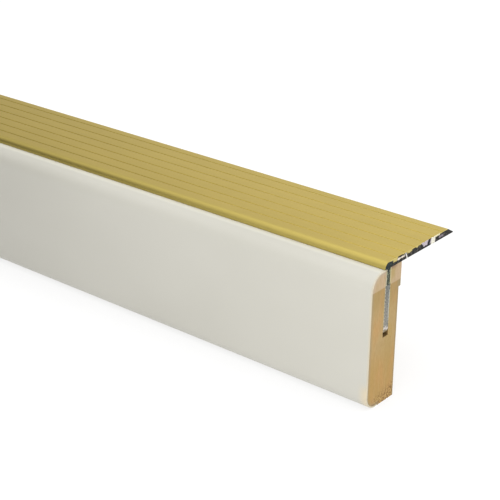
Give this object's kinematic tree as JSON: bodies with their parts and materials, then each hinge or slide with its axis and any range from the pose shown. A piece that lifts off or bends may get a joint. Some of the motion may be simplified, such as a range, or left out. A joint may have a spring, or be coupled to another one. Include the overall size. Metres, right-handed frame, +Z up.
{
  "type": "stair nosing",
  "caption": "Straight stair nosing: a grooved gold aluminium cover whose barbed tongue is pressed into the top of a white-faced front board with rounded edges.",
  "frame": {"origin": "on the floor under the board, below the middle of the whole section and halfway along its length", "axes": "+X along the nosing's length, -Y the white front that faces the person climbing, +Y under the cover towards the tread, +Z up"},
  "size_m": [1, 0.0552, 0.0598],
  "materials": {
    "gold_aluminium": "satin",
    "faced_board": "satin"
  },
  "bodies": {
    "root": {"nosing_profile": "gold_aluminium", "front_board": "faced_board"}
  },
  "joints": []
}
